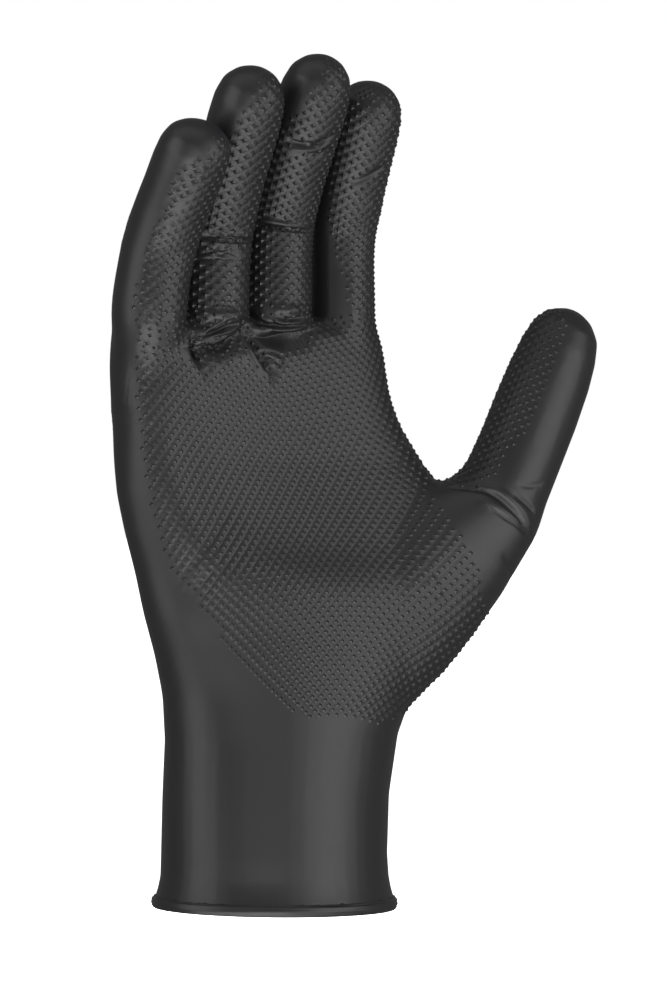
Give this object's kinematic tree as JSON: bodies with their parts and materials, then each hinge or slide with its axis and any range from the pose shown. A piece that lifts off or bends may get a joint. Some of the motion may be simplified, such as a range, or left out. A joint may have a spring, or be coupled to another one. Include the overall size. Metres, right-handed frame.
{
  "type": "nitrile exam glove",
  "caption": "Right-hand disposable nitrile glove in its worn form, a thin hollow film with an open cuff, a rolled bead, four fingers, a thumb and a raised grip pattern on the palm side",
  "frame": {"origin": "the middle of the cuff's opening, in the plane of the bead's lower edge", "axes": "+Z from the opening towards the fingertips, -Y out of the palm, +X towards the thumb"},
  "size_m": [0.1583, 0.065, 0.2417],
  "materials": {
    "nitrile": "satin black dipped nitrile film with a raised diamond grip on the palm side"
  },
  "bodies": {
    "root": {"glove": "nitrile"}
  },
  "joints": []
}
